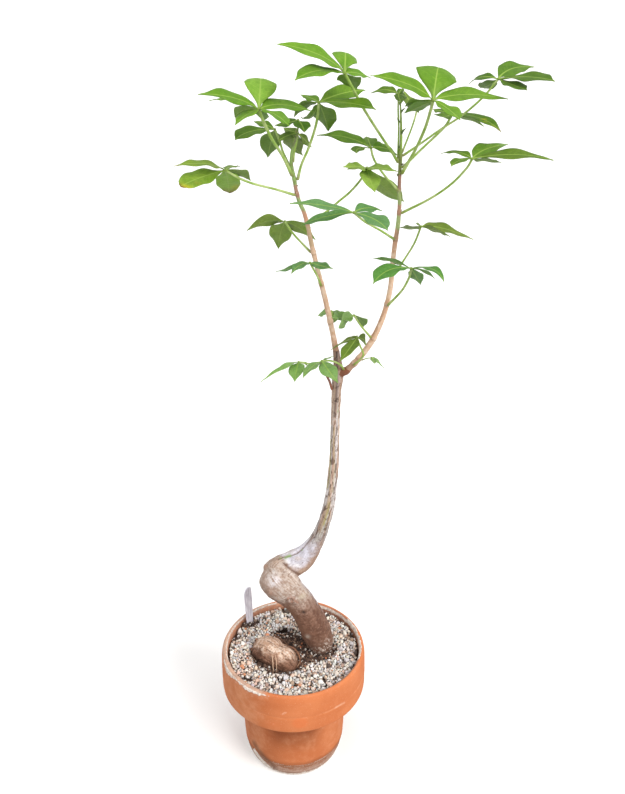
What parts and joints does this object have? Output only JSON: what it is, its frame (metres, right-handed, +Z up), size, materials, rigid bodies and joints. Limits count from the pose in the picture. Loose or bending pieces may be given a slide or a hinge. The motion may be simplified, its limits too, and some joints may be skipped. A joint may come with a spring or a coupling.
{
  "type": "potted white floss silk tree",
  "caption": "Potted caudex tree: swollen folded trunk forking into two slender shoots with palmate leaves on long stalks, in a collared terracotta pot with gravel.",
  "frame": {"origin": "middle of the whole part's footprint box, on the ground plane under the pot's base", "axes": "+Z up along the plant, +X to the right and +Y away as seen from the front; the pot stands left of the origin because the crown leans right"},
  "size_m": [0.2942, 0.1568, 0.7403],
  "materials": {
    "terracotta": "unglazed matte, with pale mineral bloom",
    "soil": "rough, crumbly",
    "gravel": "matte, mixed cream, grey, orange and dark grains",
    "label_plastic": "matte, weathered, blank",
    "bark": "rough, fissured and wrinkled",
    "shoot_bark": "smooth young bark, satin",
    "twig_bark": "matte",
    "leaf_green": "satin, veined"
  },
  "bodies": {
    "root": {"pot": "terracotta", "soil": "soil", "gravel_topdressing": "gravel", "plant_label": "label_plastic", "trunk": "bark", "left_shoot": "shoot_bark", "right_shoot": "shoot_bark", "twig": "twig_bark", "leaf_l01": "leaf_green", "leaf_l02": "leaf_green", "leaf_l03": "leaf_green", "leaf_l04": "leaf_green", "leaf_l05": "leaf_green", "leaf_l06": "leaf_green", "leaf_l07": "leaf_green", "leaf_l08": "leaf_green", "leaf_l09": "leaf_green", "leaf_l10": "leaf_green", "leaf_r01": "leaf_green", "leaf_r02": "leaf_green", "leaf_r03": "leaf_green", "leaf_r04": "leaf_green", "leaf_r05": "leaf_green", "leaf_r06": "leaf_green", "leaf_r07": "leaf_green", "leaf_r08": "leaf_green", "leaf_r09": "leaf_green", "leaf_r10": "leaf_green", "leaf_r11": "leaf_green", "leaf_r12": "leaf_green", "leaf_r13": "leaf_green", "leaf_r14": "leaf_green", "leaf_t01": "leaf_green", "leaf_t02": "leaf_green"}
  },
  "joints": []
}
